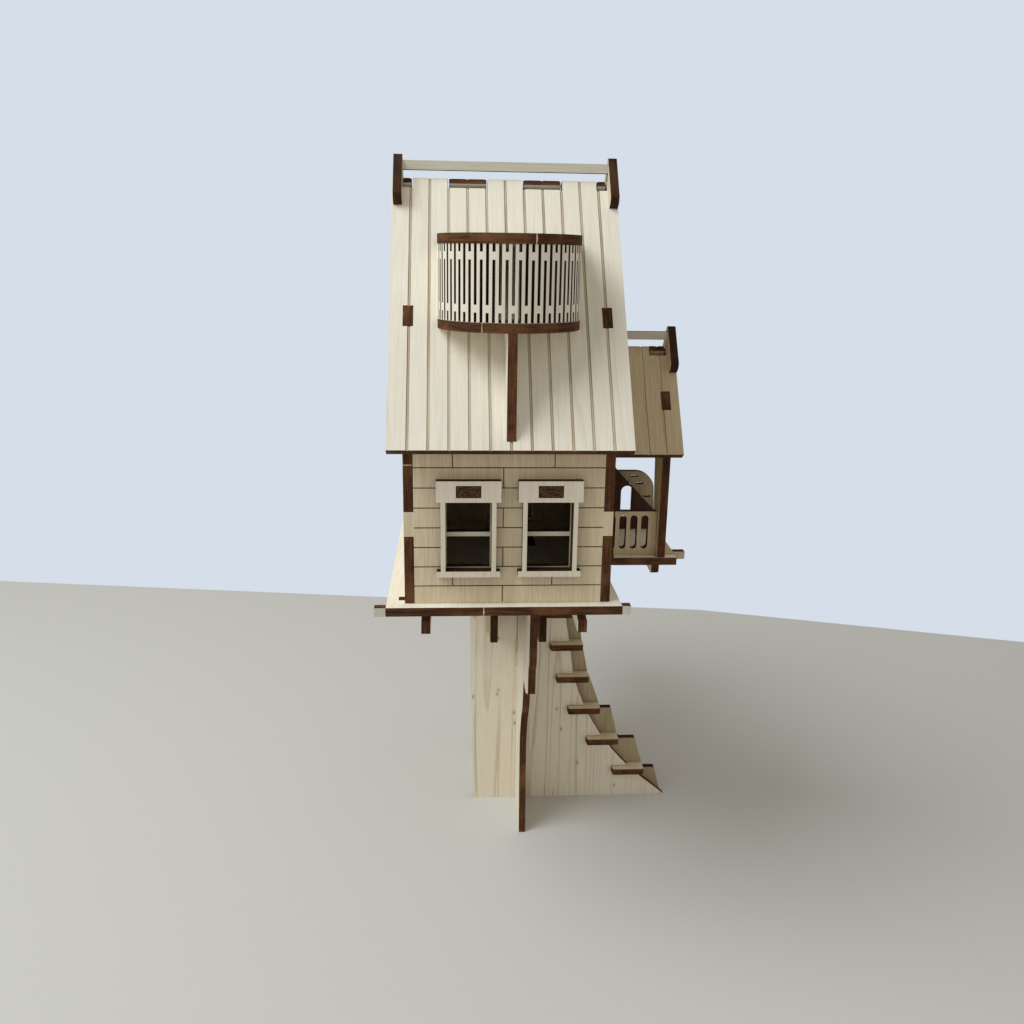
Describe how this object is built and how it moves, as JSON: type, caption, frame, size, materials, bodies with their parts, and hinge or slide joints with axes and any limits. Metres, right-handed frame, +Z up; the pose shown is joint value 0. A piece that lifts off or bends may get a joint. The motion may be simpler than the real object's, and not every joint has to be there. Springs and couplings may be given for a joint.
{
  "type": "dollhouse",
  "caption": "Laser-cut plywood tree dollhouse: a gabled house with a roof bay and a covered porch on a deck, carried by a trunk of crossed plates with an open stair",
  "frame": {"origin": "centre of the overall box in plan, at the height of the surface that the trunk stands on", "axes": "+X to the right of the front wall, towards the porch; +Y from the front wall towards the terrace at the back; +Z up"},
  "size_m": [0.1292, 0.224, 0.2882],
  "materials": {
    "birch_ply": "bare pale birch plywood, laser-cut, with dark brown burnt edges and fine engraved lines",
    "shaded_ply": "bare birch plywood, slightly darker sheet, burnt edges",
    "dark_end_grain": "burnt end of a plywood peg",
    "stained_ply": "plywood turned dark by the cutting smoke"
  },
  "bodies": {
    "house": {"back_door_pivot_head": "birch_ply", "back_wall": "birch_ply", "bay_bracket": "birch_ply", "bay_floor": "birch_ply", "bay_screen": "birch_ply", "bay_top": "birch_ply", "corbel_left": "shaded_ply", "corbel_right": "shaded_ply", "deck_corner_peg_left": "birch_ply", "deck_corner_peg_right": "birch_ply", "deck_cross_beam": "birch_ply", "front_wall": "birch_ply", "gable_wall_left": "birch_ply", "gable_wall_right": "birch_ply", "joist_left": "birch_ply", "joist_right": "birch_ply", "main_deck": "birch_ply", "porch_back_rail": "stained_ply", "porch_back_screen": "shaded_ply", "porch_deck": "birch_ply", "porch_door_pivot_head": "birch_ply", "porch_end_frame": "birch_ply", "porch_front_rail": "birch_ply", "porch_horn": "birch_ply", "porch_joist": "birch_ply", "porch_ridge_bar": "birch_ply", "porch_roof_back": "birch_ply", "porch_roof_front": "birch_ply", "ridge_bar": "birch_ply", "ridge_horn_left": "birch_ply", "ridge_horn_right": "birch_ply", "roof_back": "birch_ply", "roof_front": "birch_ply", "stair_stringer_front": "shaded_ply", "stair_stringer_rear": "birch_ply", "stair_tread_1": "birch_ply", "stair_tread_2": "birch_ply", "stair_tread_3": "birch_ply", "stair_tread_4": "birch_ply", "stair_tread_5": "birch_ply", "stair_tread_6": "birch_ply", "stair_tread_7": "birch_ply", "stair_tread_8": "birch_ply", "terrace_rail_back": "birch_ply", "terrace_rail_left": "birch_ply", "terrace_rail_right": "birch_ply", "trunk_cross_plate": "birch_ply", "trunk_face_plate": "birch_ply", "trunk_rear_plate": "birch_ply", "window_peg_front_left": "dark_end_grain", "window_peg_front_right": "dark_end_grain", "window_peg_right": "dark_end_grain", "window_sash_front_left": "birch_ply", "window_sash_front_right": "birch_ply", "window_sash_right": "birch_ply", "window_trim_front_left": "birch_ply", "window_trim_front_right": "birch_ply", "window_trim_right": "birch_ply"},
    "porch_door_leaf": {"porch_door": "shaded_ply"},
    "back_door_leaf": {"back_door": "shaded_ply"}
  },
  "joints": [
    {"name": "porch_door_hinge", "type": "hinge", "parent": "house", "child": "porch_door_leaf", "pos_m": [0.0148, -0.0441, 0.1626], "axis": [0, 0, -1], "range_deg": [0, 100]},
    {"name": "back_door_hinge", "type": "hinge", "parent": "house", "child": "back_door_leaf", "pos_m": [-0.0054, -0.0007, 0.1626], "axis": [0, 0, -1], "range_deg": [0, 100]}
  ]
}
